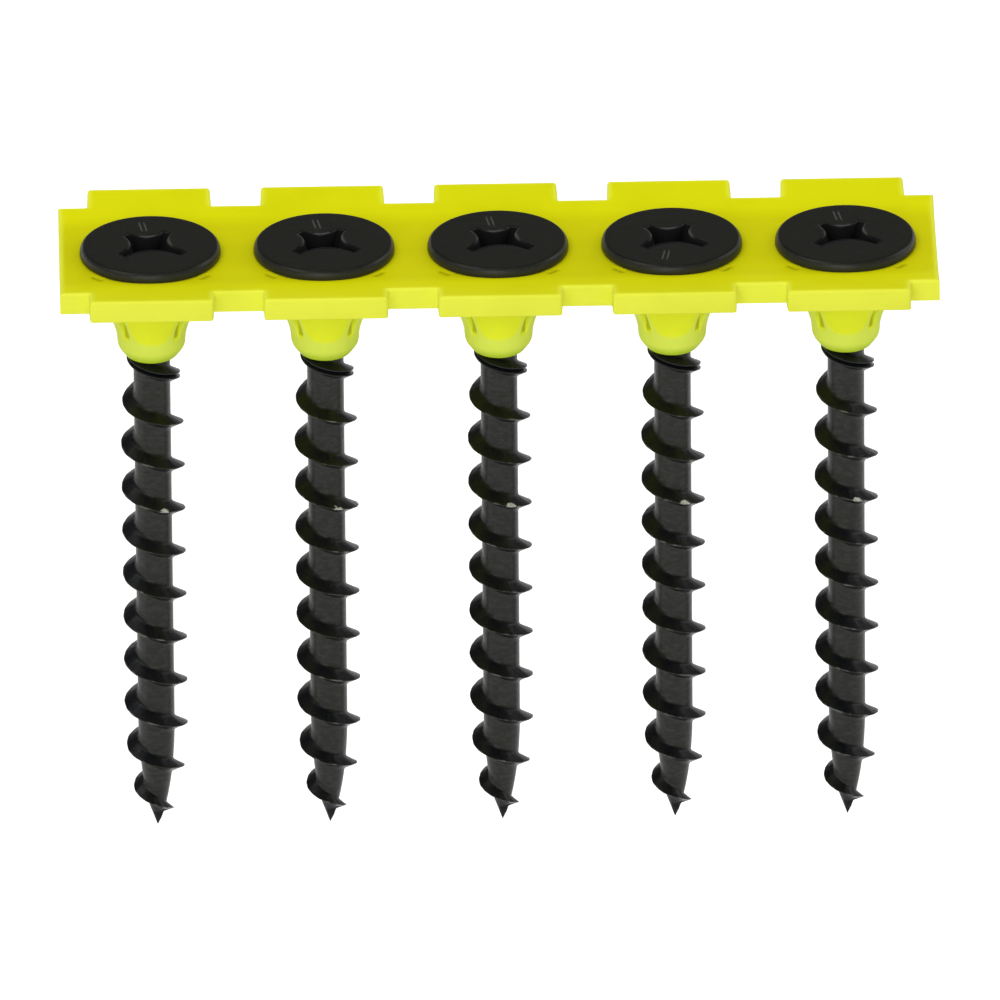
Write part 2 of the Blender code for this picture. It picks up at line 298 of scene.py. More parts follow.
@dataclass(frozen=True)
class PlasticFinish:
    """Moulded soft plastic: painted paler where it is thin as a painted glow, painted darker in dips and
    grooves as painted shade, with flow blotches and a fine moulded grain.

    A noise is given by its features a metre and its detail.
    """

    name: str
    ramp: Ramp
    stops: tuple[tuple[float, Colour], ...]
    # painted glow: a paler colour standing in for light shining through thin plastic
    thin_glow: Colour
    # painted shade: the darker colour for dips and grooves
    deep: Colour = srgb(92, 88, 6)
    roughness: Span = (0.42, 0.58)
    specular: float = 0.015
    blotch_noise: Span = (240.0, 2.0)
    blotch_range: Span = (0.42, 0.72)
    blotch_share: float = 0.6
    blotch_shade: Colour = (0.90, 0.91, 0.80, 1.0)
    grain_noise: Span = (5200.0, 2.0)
    grain_strength: float = 0.5
    grain_depth: float = 0.000012

    def painted_light_ramp(self, sheet: NodeSheet, where: bpy.types.NodeSocket) -> bpy.types.NodeSocket:
        """Returns the colour along the ramp, whose stops give a distance in millimetres and a colour; the
        stops paint light and shade into it.
        """
        axis = sheet.add("ShaderNodeSeparateXYZ", {0: where}).outputs[self.ramp.value]
        away = sheet.math("ABSOLUTE", axis)
        reach = self.stops[-1][0]
        colours = sheet.add("ShaderNodeValToRGB", {0: sheet.ranged(away, (0.0, reach * MM), (0.0, 1.0))})
        elements = colours.color_ramp.elements
        for _ in range(len(self.stops) - len(elements)):
            elements.new(0.5)
        for element, (distance, colour) in zip(elements, self.stops):
            element.position = distance / reach
            element.color = colour
        return colours.outputs[0]

    def build(self) -> bpy.types.Material:
        """Builds the material: the ramp's colour with its painted light and shade, a painted glow at thin
        edges and painted shade in dips and grooves, blotched, over a fine grain.
        """
        material, sheet = new_material(self.name)
        where = sheet.add("ShaderNodeTexCoord").outputs["Object"]
        blotch = sheet.noise(where, *self.blotch_noise)
        grain = sheet.noise(where, *self.grain_noise)
        # painted light: the ramp and the tone mark paint glow and shade into the colour
        body = sheet.toned(self.painted_light_ramp(sheet, where), self.deep, self.thin_glow)
        blotched = sheet.ranged(blotch, self.blotch_range, (0.0, self.blotch_share))
        colour = sheet.mixed(blotched, body, self.blotch_shade, "MULTIPLY")
        bump = sheet.add(
            "ShaderNodeBump",
            {"Height": grain, "Strength": self.grain_strength, "Distance": self.grain_depth},
        )
        shader = sheet.add(
            "ShaderNodeBsdfPrincipled",
            {
                "Base Color": colour,
                "Roughness": sheet.ranged(blotch, NOISE_SPREAD, self.roughness),
                "Specular IOR Level": self.specular,
                "Normal": bump.outputs[0],
            },
        )
        sheet.add("ShaderNodeOutputMaterial", {0: shader.outputs[0]})
        return material


@dataclass(frozen=True)
class PhosphateFinish:
    """Black phosphate on steel: fine crystals, a scuffed shank, crests worn in patches that also paint their
    glints, and a bare chip.

    Two painted highlights mark the lips of the groove struck into the head's face. Places are in
    millimetres about the screw's own axis, and the chip shows on both sides of the shank. A noise is given
    by its features a metre and its detail, and a range by where an effect starts and where it is full.
    """

    name: str = "black_phosphate"
    # black: painted shade in the recess and on its front lip; it also darkens the point
    black: Colour = srgb(7, 7, 8)
    # painted shade on the thread's flanks, a bluish black
    flank_shade: Colour = srgb(6, 8, 26)
    deep: Colour = srgb(10, 10, 8)
    pale: Colour = srgb(23, 25, 10)
    scuff: Colour = srgb(86, 87, 88)
    # bare metal for the crest wear and the chip, and also painted glints on the head and the crests
    bare_and_glint: Colour = srgb(196, 196, 190)
    roughness: Span = (0.28, 0.46)
    specular: float = 0.27
    bump_strength: float = 0.5
    crystal_noise: Span = (6500.0, 3.0)
    crystal_range: Span = (0.3, 0.75)
    crystal_depth: float = 0.00001
    scuff_noise: Span = (2400.0, 4.0)
    scuff_squash: tuple[float, float, float] = (1.0, 1.0, 2.0)
    scuff_range: Span = (0.42, 0.80)
    scuff_share: float = 0.22
    scuff_depth: float = 0.00002
    shank_z: Span = (-4.6, -6.2)
    root_tone: Span = (-0.3, 0.0)
    flank_shade_tone: float = -0.5
    darkest_tone: Span = (-0.5, -0.7)
    dull_dark_tone: Span = (-0.52, -0.6)
    dark_roughness: float = 0.9
    wear_glint_noise: Span = (1500.0, 3.0)
    wear_glint_patch_range: Span = (0.50, 0.64)
    wear_glint_least: float = 0.06
    wear_glint_range: Span = (0.05, 1.0)
    wear_glint_share: float = 0.24
    groove_x: float = -0.03
    groove_half_width: float = 0.14
    groove_slant: float = 0.15
    groove_ends: Span = (1.75, 3.15)
    groove_fades: Span = (0.3, 0.2)
    groove_lip: Span = (0.07, 0.02)
    groove_glint_share: float = 0.12
    face_z: Span = (1.9, 1.95)
    chip_place: tuple[float, float, float] = (0.60, 1.72, -14.70)
    chip_radius: float = 0.30
    chip_ragged: float = 0.6
    chip_edge: float = 0.06
    facet_range: Span = (0.38, 0.46)
    facet_least: float = 0.25

    def groove_glint_lips(self, sheet: NodeSheet, own: bpy.types.NodeSocket) -> bpy.types.NodeSocket:
        """Returns 1 on the groove's two lips, where painted highlights go, which run along Y with a slant,
        and 0 elsewhere.
        """
        x, y, z = sheet.add("ShaderNodeSeparateXYZ", {0: own}).outputs
        aside = sheet.math("SUBTRACT", sheet.math("MULTIPLY_ADD", y, self.groove_slant, x), self.groove_x)
        past_lip = sheet.math("SUBTRACT", sheet.math("ABSOLUTE", aside), self.groove_half_width)
        away = sheet.math("ABSOLUTE", past_lip)
        (start, stop), (start_fade, stop_fade) = self.groove_ends, self.groove_fades
        along = sheet.math(
            "MULTIPLY",
            sheet.ranged(y, (start, start + start_fade), (0.0, 1.0)),
            sheet.ranged(y, (stop, stop - stop_fade), (0.0, 1.0)),
        )
        groove_glints = sheet.math("MULTIPLY", along, sheet.ranged(away, self.groove_lip, (0.0, 1.0)))
        return sheet.math("MULTIPLY", groove_glints, sheet.ranged(z, self.face_z, (0.0, 1.0)))

    def chip(
        self,
        sheet: NodeSheet,
        own: bpy.types.NodeSocket,
        rough: bpy.types.NodeSocket,
        facets: bpy.types.NodeSocket,
    ) -> bpy.types.NodeSocket:
        """Works out the chip, a ball about its place with a ragged edge and broken facets.

        Args:
            sheet: the material's nodes.
            own: the place about the screw's own axis.
            rough: a noise that makes the edge ragged.
            facets: a finer noise that breaks the bare metal up.

        Returns:
            Up to 1 inside the chip and 0 elsewhere.
        """
        x, y, z = sheet.add("ShaderNodeSeparateXYZ", {0: own}).outputs
        place = sheet.add("ShaderNodeCombineXYZ", {0: x, 1: sheet.math("ABSOLUTE", y), 2: z}).outputs[0]
        gap = sheet.add("ShaderNodeVectorMath", {0: place, 1: self.chip_place}, operation="DISTANCE")
        ragged = sheet.math("MULTIPLY_ADD", rough, self.chip_ragged, gap.outputs["Value"])
        edge = self.chip_radius + self.chip_ragged / 2.0
        patch = sheet.ranged(ragged, (edge, edge - self.chip_edge), (0.0, 1.0))
        return sheet.math("MULTIPLY", patch, sheet.ranged(facets, self.facet_range, (self.facet_least, 1.0)))

    def build(self) -> bpy.types.Material:
        """Builds the material; the wear mark gives crest wear with painted glints; tone gives painted shade,
        painted glints and the darker point.
        """
        material, sheet = new_material(self.name)
        where = sheet.add("ShaderNodeTexCoord").outputs["Object"]
        own = sheet.mark("own").outputs["Vector"]
        height = sheet.add("ShaderNodeSeparateXYZ", {0: own}).outputs[2]
        tone = sheet.mark("tone").outputs["Fac"]
        squashed = sheet.add("ShaderNodeMapping", {"Vector": where, "Scale": self.scuff_squash}).outputs[0]
        crystal = sheet.noise(where, *self.crystal_noise)
        scuffing = sheet.noise(squashed, *self.scuff_noise)
        patches = sheet.noise(where, *self.wear_glint_noise)
        coat = sheet.mixed(sheet.ranged(crystal, self.crystal_range, (0.0, 1.0)), self.deep, self.pale)
        root = sheet.ranged(tone, self.root_tone, (0.0, 1.0))
        shank = sheet.math("MULTIPLY", root, sheet.ranged(height, self.shank_z, (0.0, 1.0)))
        scratches = sheet.ranged(scuffing, self.scuff_range, (0.0, self.scuff_share))
        scuffed = sheet.mixed(sheet.math("MULTIPLY", shank, scratches), coat, self.scuff)
        # painted shade on the thread's flanks
        flank_shading = sheet.ranged(tone, (0.0, self.flank_shade_tone), (0.0, -self.flank_shade_tone))
        flank_shaded = sheet.mixed(flank_shading, scuffed, self.flank_shade)
        # painted shade in the recess and on the front lip, and the darker point
        darkened = sheet.mixed(sheet.ranged(tone, self.darkest_tone, (0.0, 1.0)), flank_shaded, self.black)
        # painted glints on the head's inner corners and rim
        toned = sheet.mixed(sheet.ranged(tone, (0.0, 1.0), (0.0, 1.0)), darkened, self.bare_and_glint)
        # crest wear rubbed bare in patches, which also paints the crests' glints
        patchy_wear_glint = sheet.ranged(patches, self.wear_glint_patch_range, (self.wear_glint_least, 1.0))
        crest_wear_glint = sheet.math("MULTIPLY", sheet.mark("wear_glint").outputs["Fac"], patchy_wear_glint)
        worn_glinting = sheet.mixed(sheet.ranged(crest_wear_glint, self.wear_glint_range, (0.0, self.wear_glint_share)), toned, self.bare_and_glint)
        # painted highlights on the groove's two lips
        groove_glints = sheet.ranged(self.groove_glint_lips(sheet, own), (0.0, 1.0), (0.0, self.groove_glint_share))
        chipped = sheet.mixed(
            self.chip(sheet, own, scuffing, crystal), sheet.mixed(groove_glints, worn_glinting, self.bare_and_glint), self.bare_and_glint
        )
        satin = sheet.ranged(crystal, NOISE_SPREAD, self.roughness)
        dulled = sheet.ranged(tone, self.dull_dark_tone, (0.0, self.dark_roughness))
        fine = sheet.add(
            "ShaderNodeBump",
            {"Height": crystal, "Strength": self.bump_strength, "Distance": self.crystal_depth},
        )
        uneven = sheet.add(
            "ShaderNodeBump",
            {
                "Height": scuffing,
                "Strength": self.bump_strength,
                "Distance": self.scuff_depth,
                "Normal": fine.outputs[0],
            },
        )
        shader = sheet.add(
            "ShaderNodeBsdfPrincipled",
            {
                "Base Color": chipped,
                "Roughness": sheet.math("MAXIMUM", satin, dulled),
                "Specular IOR Level": self.specular,
                "Normal": uneven.outputs[0],
            },
        )
        sheet.add("ShaderNodeOutputMaterial", {0: shader.outputs[0]})
        return material


@dataclass(frozen=True)
class RecessLevel:
    """The cross recess at one depth: how far its wings reach, their half width and the inner corners."""

    depth: float
    reach: float
    half_width: float
    inner: float


@dataclass(frozen=True)
class CrossRecess:
    """The recess struck into the head: four wings, a little uneven in angle and reach, on several levels."""

    levels: tuple[RecessLevel, ...] = (
        RecessLevel(2.30, 0.55, 0.18, 0.38),
        RecessLevel(1.50, 1.30, 0.22, 0.62),
        RecessLevel(0.10, 2.04, 0.22, 0.90),
        RecessLevel(0.03, 2.09, 0.26, 0.94),
        RecessLevel(0.00, 2.14, 0.30, 1.00),
    )
    wing_degrees: tuple[float, float, float, float] = (58.0, 136.0, 220.0, 324.0)
    wing_shares: tuple[float, float, float, float] = (0.90, 0.94, 1.05, 1.07)
    hollow_shares: tuple[float, float, float, float] = (1.05, 1.30, 0.80, 1.12)
    middle: Span = (0.04, 0.10)
    floor_depth: float = 2.42
    edge_samples: int = 14

    @property
    def columns(self) -> int:
        """Points round one turn: for each wing, one share on its tip and two on the curve after it."""
        return 3 * len(self.wing_degrees) * self.edge_samples

    def column_angles(self) -> Floats:
        """Returns the even column angles, from the recess's first corner on."""
        level = self.levels[-1]
        spread = math.atan2(level.half_width, level.reach * self.wing_shares[0])
        return math.radians(self.wing_degrees[0]) - spread + TURN * np.arange(self.columns) / self.columns

    def outline(self, level: RecessLevel) -> Floats:
        """Works out the recess's outline at one level.

        Each of the four wings has a straight tip between its two corners, and a hollow curve
        (1-t)^2 A + 2t(1-t) C + t^2 B runs from one wing's corner A to the next wing's corner B, with C
        placed so that its middle lies at the inner radius times that side's share. A running mean over
        three points rounds the corners.

        Args:
            level: the sizes at this depth.

        Returns:
            The outline as X and Y, one row for each column.
        """
        reach = level.reach * np.array(self.wing_shares)[:, None, None]
        spread = np.arctan2(level.half_width, reach)
        wing = np.radians(self.wing_degrees)[:, None, None]
        half_gap = (np.roll(wing, -1, axis=0) - wing) % TURN / 2.0
        corner = wing + np.concatenate([-spread, spread], axis=1)
        ways = np.concatenate([np.cos(corner), np.sin(corner)], axis=2)
        corners = np.hypot(reach, level.half_width) * ways
        start, stop, onward = corners[:, :1], corners[:, 1:], np.roll(corners, -1, axis=0)[:, :1]
        inner = level.inner * np.array(self.hollow_shares)[:, None, None]
        middle = np.concatenate([np.cos(wing + half_gap), np.sin(wing + half_gap)], axis=2)
        pull = 2.0 * inner - ((stop + onward) * middle).sum(axis=2, keepdims=True) / 2.0
        hollow = pull * middle
        share = np.arange(self.edge_samples)[None, :, None] / self.edge_samples
        t = np.arange(2 * self.edge_samples)[None, :, None] / (2 * self.edge_samples)
        tips = start * (1 - share) + stop * share
        curves = (1 - t) ** 2 * stop + 2 * t * (1 - t) * hollow + t**2 * onward
        line = np.concatenate([tips, curves], axis=1).reshape(-1, 2) + np.array(self.middle)
        return 0.25 * np.roll(line, 1, axis=0) + 0.5 * line + 0.25 * np.roll(line, -1, axis=0)


@dataclass(frozen=True)
class ScrewHead:
    """A bugle head: recess, face, rim, bugle and neck, as rings about the screw's axis."""

    top_z: float
    radius: float
    neck_radius: float
    recess: CrossRecess
    face_radius: float = 3.93
    face_margin: float = 0.2
    face_shares: tuple[float, ...] = (0.05, 0.12, 0.3, 0.5, 0.7, 0.88)
    shoulder_inset: float = 0.07
    shoulder_share: float = 0.36
    edge_drop: float = 0.36
    rim_drop: float = 0.57
    rim_undercut: Span = (0.16, 0.10)
    rim_cuts: tuple[float, float, float, float] = (0.04, 0.09, 0.08, 0.05)
    corner_steps: int = 6
    bugle_drop: float = 0.2
    bugle_rows: int = 18
    bugle_power: float = 1.9
    neck_depth: float = 5.2
    rim_glint: float = 0.025
    rim_fade: float = 0.1
    recess_shade_tone: float = -0.8
    corner_glint: float = 0.10
    corner_reach: float = 1.4
    unglinted_y: float = -0.6
    shaded_lip_y: float = -0.3
    lip_fade: float = 0.3

    def profile(self) -> Floats:
        """Works out the head's side from the face's edge to the neck.

        The edge rounds over in two chamfers from the face to a short upright rim. Under it is the bugle,
        r = neck + (head - neck) * h ** power, where h is the height above the neck as a share of the
        bugle's height.

        Returns:
            Radius and height, one row a ring.
        """
        rim_foot = self.top_z - self.rim_drop
        neck_z = self.top_z - self.neck_depth
        inset, drop = self.rim_undercut
        corners = np.array(
            [
                [self.face_radius - self.face_margin, self.top_z],
                [self.face_radius, self.top_z],
                [self.radius - self.shoulder_inset, self.top_z - self.shoulder_share * self.edge_drop],
                [self.radius, self.top_z - self.edge_drop],
                [self.radius, rim_foot],
                [self.radius - inset, rim_foot - drop],
            ]
        )
        rim = filleted(corners, np.array(self.rim_cuts), self.corner_steps)
        height = np.linspace(rim_foot - self.bugle_drop, neck_z, self.bugle_rows)
        share = (height - neck_z) / (rim_foot - neck_z)
        bugle = self.neck_radius + (self.radius - self.neck_radius) * share**self.bugle_power
        return np.concatenate([rim, np.stack([bugle, height], axis=1)])

    def rings(self) -> Floats:
        """Works out the rings from the recess's floor up, over the face and down to the neck.

        The face runs straight from the recess's outline to the face's edge.

        Returns:
            Rings by columns by X, Y and Z, about the screw's own axis.
        """
        angle, columns = self.recess.column_angles(), self.recess.columns
        circle = np.stack([np.cos(angle), np.sin(angle)], axis=1)
        levels = [
            np.column_stack([self.recess.outline(level), np.full(columns, self.top_z - level.depth)])
            for level in self.recess.levels
        ]
        profile = self.profile()
        lip = levels[-1]
        edge = np.column_stack([circle * profile[0, 0], np.full(columns, self.top_z)])
        share = np.array(self.face_shares)[:, None, None]
        face = lip * (1 - share) + edge * share
        side = np.concatenate(
            [
                circle[None] * profile[:, 0, None, None],
                np.broadcast_to(profile[:, 1, None, None], (len(profile), columns, 1)),
            ],
            axis=2,
        )
        return np.concatenate([np.stack(levels), face, side])

    def tone(self, rings: Floats) -> Floats:
        """Works out the head's tone: painted shade in the recess and on its front lip, and painted glints on
        the inner corners and the rim.

        Args:
            rings: the head's rings, the recess's levels first.

        Returns:
            Tone for each point of the rings.
        """
        x, y = rings[..., 0], rings[..., 1]
        count = len(self.recess.levels)
        inside, lip, beside = slice(0, count - 2), slice(count - 2, count), slice(count - 2, count + 1)
        reach = np.hypot(x[lip] - self.recess.middle[0], y[lip] - self.recess.middle[1])
        corner = self.corner_glint * eased((self.corner_reach - reach) / self.lip_fade)
        tone = np.zeros(rings.shape[:2])
        # painted shade in the recess
        tone[inside] = self.recess_shade_tone
        # painted glints on the lips at the inner corners, away from the front
        tone[lip] = corner * eased((y[lip] - self.unglinted_y) / self.lip_fade)
        # painted shade on the front lip
        tone[beside] += self.recess_shade_tone * eased((self.shaded_lip_y - y[beside]) / self.lip_fade)
        # painted glint along the rim
        return tone + self.rim_glint * eased((np.hypot(x, y) - self.face_radius) / self.rim_fade)


@dataclass(frozen=True)
class ScrewThread:
    """The shank with its coarse thread: a sheet that winds down to the point.

    Each turn's last row is the next turn's first. A wave of the uneven crest is given by its height, its
    rate and its start.
    """

    tip_z: float
    column_angles: Floats
    pitch: float = 2.82
    phase_z: float = -9.5
    start_z: float = -5.0
    end_z: float = -35.1
    crest_radius: float = 1.87
    crest_point_z: float = -27.5
    crest_powers: Span = (2.3, 0.52)
    crest_waves: tuple[tuple[float, float, float], ...] = ((0.008, 7.3, 0.0), (0.006, 17.1, 1.0))
    crest_half: float = 0.02
    flank_slope: float = 0.58
    root_radius: float = 1.08
    root_point_z: float = -28.5
    root_powers: Span = (2.3, 0.8)
    crest_rows: tuple[float, ...] = (0.0, 0.33, 0.67, 1.0)
    flank_rows: tuple[float, ...] = (0.08, 0.25, 0.5, 0.75, 0.93)
    root_rows: tuple[float, ...] = (0.08, 0.3, 0.6, 1.0)
    growth_turns: float = 2.0
    growth_power: float = 0.24
    runout_turns: float = 0.14
    tip_share: float = 0.8
    lip_turns: Span = (0.65, 1.1)
    lip_extra: float = 0.17
    lip_cleft: float = 0.22
    cleft_share: float = 0.67
    lip_lift: float = 0.28
    wear_glint_slope: float = 0.90
    wear_glint_fade: float = 0.10
    wear_glint_least_tall: float = 0.1
    flank_shade_tone: float = -0.45
    flank_fade: float = 0.2
    tone_turns: float = 0.9
    point_length: float = 1.2
    point_tone: float = -0.62

    def pointed(self, radius: float, height: Floats, start_z: float, powers: Span) -> Floats:
        """Returns a radius that runs out to the tip: r * (1 - share ** p) ** q below start_z."""
        share = np.clip((start_z - height) / (start_z - self.tip_z), 0.0, 1.0)
        return radius * (1.0 - share ** powers[0]) ** powers[1]

    def root_at(self, height: Floats) -> Floats:
        """Returns the shank's radius between the threads, from the neck down to the point."""
        return self.pointed(self.root_radius, height, self.root_point_z, self.root_powers)

    def first_column(self) -> int:
        """Returns the column at which the thread starts, below which the sheet winds."""
        columns = len(self.column_angles)
        wanted = TURN * (self.phase_z - self.start_z) / self.pitch
        step = TURN / columns
        return int(round(((wanted - self.column_angles[0]) % TURN) / step)) % columns

    def half_rows(self, flat: Floats, foot: Floats, end: Floats) -> Floats:
        """Returns how far each row of half a ridge lies from its middle: crest, flank, then root."""
        crest = flat[:, None] * np.array(self.crest_rows)
        flank_shading = flat[:, None] + (foot - flat)[:, None] * np.array(self.flank_rows)
        root = foot[:, None] + (end - foot)[:, None] * np.array(self.root_rows)
        return np.concatenate([crest, flank_shading, root], axis=1)

    def sheet(self) -> tuple[Floats, Floats, Floats]:
        """Works out the winding sheet.

        At angle a the ridge's middle is at z = phase - pitch * a / turn. Across the ridge the radius is
        the root's plus a height that is full on the crest, falls straight along the flank and is nothing
        on the root. The height grows with a power of the turns from the start, and it runs out at the tip.
        The first turn lies a little higher, and its crest is wider and split into two lips by a V groove,
            as the rolling leaves it. Wear lies along the crest and also paints its glints, the flanks are
            darkened as painted shade, and the point is dark.

        Returns:
            Points as steps by rows by X, Y and Z, the crest wear with its painted glints, and the tone of
            each point.
        """
        columns = len(self.column_angles)
        lead = TURN * math.floor((self.phase_z - self.start_z) / self.pitch)
        base = self.column_angles[self.first_column()] % TURN + lead
        steps = int(columns * (self.start_z - self.end_z) / self.pitch)
        angle = base + TURN * np.arange(steps + 1) / columns
        turns = np.arange(steps + 1) / columns
        left = (steps - np.arange(steps + 1)) / columns
        split = 1.0 - eased((turns - self.lip_turns[0]) / (self.lip_turns[1] - self.lip_turns[0]))
        middle = self.phase_z - self.pitch * angle / TURN + self.lip_lift * split
        crest = self.pointed(self.crest_radius, middle, self.crest_point_z, self.crest_powers)
        ragged = sum(tallness * np.sin(rate * angle + start) for tallness, rate, start in self.crest_waves)
        growth = np.clip(turns / self.growth_turns, 0.0, 1.0) ** self.growth_power
        grown = growth * eased(left / self.runout_turns)
        tall = np.maximum(crest - self.root_at(middle) + ragged, 0.0) * grown
        flat = self.crest_half + self.lip_extra * split
        foot = flat + tall * self.flank_slope
        upper = np.full_like(middle, self.pitch / 2.0)
        lower = np.minimum(upper, self.tip_share * (middle - self.tip_z))
        halves = [self.half_rows(flat, foot, end) for end in (upper, lower)]
        offset = np.concatenate([-halves[0][:, :0:-1], halves[1][:, :-1]], axis=1)
        away = np.abs(offset)
        slope = np.clip((foot[:, None] - away) / (foot - flat)[:, None].clip(TINY), 0.0, 1.0)
        opening = np.clip(1.0 - away / (self.cleft_share * flat[:, None]), 0.0, 1.0)
        cleft = self.lip_cleft * split[:, None] * opening
        ridge = tall[:, None] * slope - cleft
        height = middle[:, None] - offset
        radius = self.root_at(height) + np.maximum(ridge, 0.0)
        x, y = radius * np.cos(angle)[:, None], radius * np.sin(angle)[:, None]
        # wear along the crest, which also paints its glints
        worn_glinting = (tall > self.wear_glint_least_tall) * (1.0 - split)
        wear_glint = eased((slope - self.wear_glint_slope) / self.wear_glint_fade) * worn_glinting[:, None]
        # painted shade on the flanks, held off the worn crest
        flank_shading = self.flank_shade_tone * eased(slope / self.flank_fade) * (1.0 - wear_glint)
        tone = flank_shading * eased(left / self.tone_turns)[:, None]
        point = eased((self.end_z + self.point_length - height) / self.point_length)
        return np.stack([x, y, height], axis=2), wear_glint, tone + self.point_tone * point


@dataclass
class WoodScrew:
    """One bugle-head wood screw with a cross recess and a coarse thread, as one closed surface."""

    number: int
    groove_side: Side
    finish: bpy.types.Material
    axis_x: float = field(init=False)
    head: ScrewHead = field(init=False)
    thread: ScrewThread = field(init=False)

    def __post_init__(self) -> None:
        """Reads the screw's place, head and tip from the frame."""
        low, high = (np.array(corner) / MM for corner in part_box(f"screw_{self.number}"))
        recess = CrossRecess()
        self.axis_x = float(low[0] + high[0]) / 2.0
        self.thread = ScrewThread(float(low[2]), recess.column_angles())
        radius = float(high[0] - low[0]) / 2.0
        self.head = ScrewHead(float(high[2]), radius, self.thread.root_radius, recess)

    def surface(self) -> Surface:
        """Joins the recess, head, thread and point into one closed surface.

        Returns:
            The surface at the screw's place in the strip.
        """
        rings = self.head.rings()
        sheet, wear_glint, tone = self.thread.sheet()
        ring_count, columns = rings.shape[:2]
        steps, rows = sheet.shape[0] - 1, sheet.shape[1]
        ring = 1 + np.arange(ring_count * columns).reshape(ring_count, columns)
        wound = 1 + ring.size + np.arange(sheet.shape[0] * rows).reshape(-1, rows)
        apex = 1 + ring.size + wound.size
        floor = np.array([[0.0, 0.0, self.head.top_z - self.head.recess.floor_depth]])
        tip = np.array([[0.0, 0.0, self.thread.tip_z]])
        points = np.concatenate([floor, rings.reshape(-1, 3), sheet.reshape(-1, 3), tip])
        neck = np.roll(ring[-1], -self.thread.first_column())
        quads = np.concatenate(
            [
                ring_quads(ring[:-1], ring[1:]),
                self.sheet_quads(wound, columns),
                band_quads(neck, wound[:columns, 0]),
            ]
        )
        last = steps - columns
        start = np.concatenate([wound[columns - 1 : columns + 1, 0], wound[0, ::-1], neck[:1]])
        triangles = np.concatenate(
            [
                fan(0, np.append(ring[0], ring[0, 0])),
                fan(neck[-1], start),
                fan(wound[last + 1, -1], np.concatenate([wound[last, -1:], wound[steps], [apex]])),
                fan(apex, wound[last + 1 :, -1][::-1]),
            ]
        )
        # the recess floor takes full painted shade
        tones = [[-1.0], self.head.tone(rings).ravel(), tone.ravel(), [self.thread.point_tone]]
        marks = {
            # crest wear with its painted glints
            "wear_glint": np.concatenate([np.zeros(1 + ring.size), wear_glint.ravel(), [0.0]]),
            "tone": np.concatenate(tones),
            "own": points * np.array([1.0, self.groove_side.value, 1.0]),
        }
        return Surface(points + np.array([self.axis_x, 0.0, 0.0]), quads, triangles, marks)

    def sheet_quads(self, wound: Counts, columns: int) -> Counts:
        """Returns the winding sheet's quads, each turn's last row meeting the next turn's first."""
        within = np.stack([wound[:-1, :-1], wound[:-1, 1:], wound[1:, 1:], wound[1:, :-1]], axis=-1)
        above, below = wound[:-columns, -1], wound[columns:, 0]
        return np.concatenate([within.reshape(-1, 4), band_quads(above, below)])

    def dress(self) -> bpy.types.Object:
        """Builds the screw, which stands for its CAD node and rides on its own body."""
        piece = self.surface().to_object(f"wood_screw_{self.number}", self.finish)
        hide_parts(f"screw_{self.number}")
        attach(piece, f"loose_screw_{self.number}")
        return piece


@dataclass(frozen=True)
class StripSection:
    """The strip's cross-section: flat in the middle, with wings that rise towards the tabs."""

    thickness: float = 1.35
    flat_half: float = 3.6
    wing_slope: float = 0.1625
    crease: float = 0.5
    band_half: float = 5.9
    top_round: float = 0.22
    foot_round: float = 0.08
    edge_glow_width: float = 0.36
    seam_x: float = 4.35
    edge_zone: float = 0.5
    inner_stations: int = 14
    outer_stations: int = 9

    def rise(self, y: Floats) -> Floats:
        """Returns the wings' rise: slope * (u + sqrt(u^2 + crease^2) - level) / 2, u = |y| - flat half."""
        out = np.abs(y) - self.flat_half
        level = math.hypot(self.flat_half, self.crease) - self.flat_half
        return self.wing_slope * (out + np.sqrt(out**2 + self.crease**2) - level) / 2.0

    def rounding(self, away: Floats, radius: float) -> Floats:
        """Returns how far a rounded edge has dropped at a distance inside it: r - sqrt(r^2 - (r - d)^2)."""
        inside = np.clip(radius - away, 0.0, radius)
        return radius - np.sqrt(radius**2 - inside**2)

    def top(self, y: Floats, away: Floats) -> Floats:
        """Returns the top's height at y, `away` millimetres inside the nearest free edge."""
        return self.thickness + self.rise(y) - self.rounding(away, self.top_round)

    def under(self, y: Floats, away: Floats) -> Floats:
        """Returns the underside's height at y, `away` millimetres inside the nearest free edge."""
        return self.rise(y) + self.rounding(away, self.foot_round)

    def edge_glow(self, away: Floats) -> Floats:
        """Returns the painted glow of the plastic: 1 on a free edge, painted paler for light shining
        through, and 0 inside.
        """
        return eased(1.0 - away / self.edge_glow_width)

    def stations(self) -> Floats:
        """Returns the y places across the band, closer together at its two edges."""
        inner = np.linspace(0.0, self.band_half - self.edge_zone, self.inner_stations)
        closing = np.linspace(0.0, 1.0, self.outer_stations)[1:]
        outer = self.band_half - self.edge_zone * (1.0 - closing) ** 2
        half = np.concatenate([inner, outer])
        return np.concatenate([-half[:0:-1], half])


@dataclass(frozen=True)
class TearLines:
    """The four weak lines on the diagonals of a pocket, where its collar splits as the screw is driven."""

    half_angle: float
    soft_angle: float
    columns: int = 15

    def off_middle(self, angle: Floats) -> Floats:
        """Returns how far each angle lies from the nearest line's middle."""
        return np.abs(angle % (TURN / 4) - TURN / 8)

    def share(self, angle: Floats) -> Floats:
        """Returns 1 in the middle of a line, eased to 0 over the soft angle past its half angle."""
        return eased(1.0 - (self.off_middle(angle) - self.half_angle) / self.soft_angle)

    def stations(self) -> Floats:
        """Returns angles close enough together to follow the lines' edges, from 0 to one turn."""
        middle = TURN / 8 + TURN / 4 * np.arange(4)[:, None]
        reach = self.half_angle + self.soft_angle
        return (middle + np.linspace(-reach, reach, self.columns)).ravel()


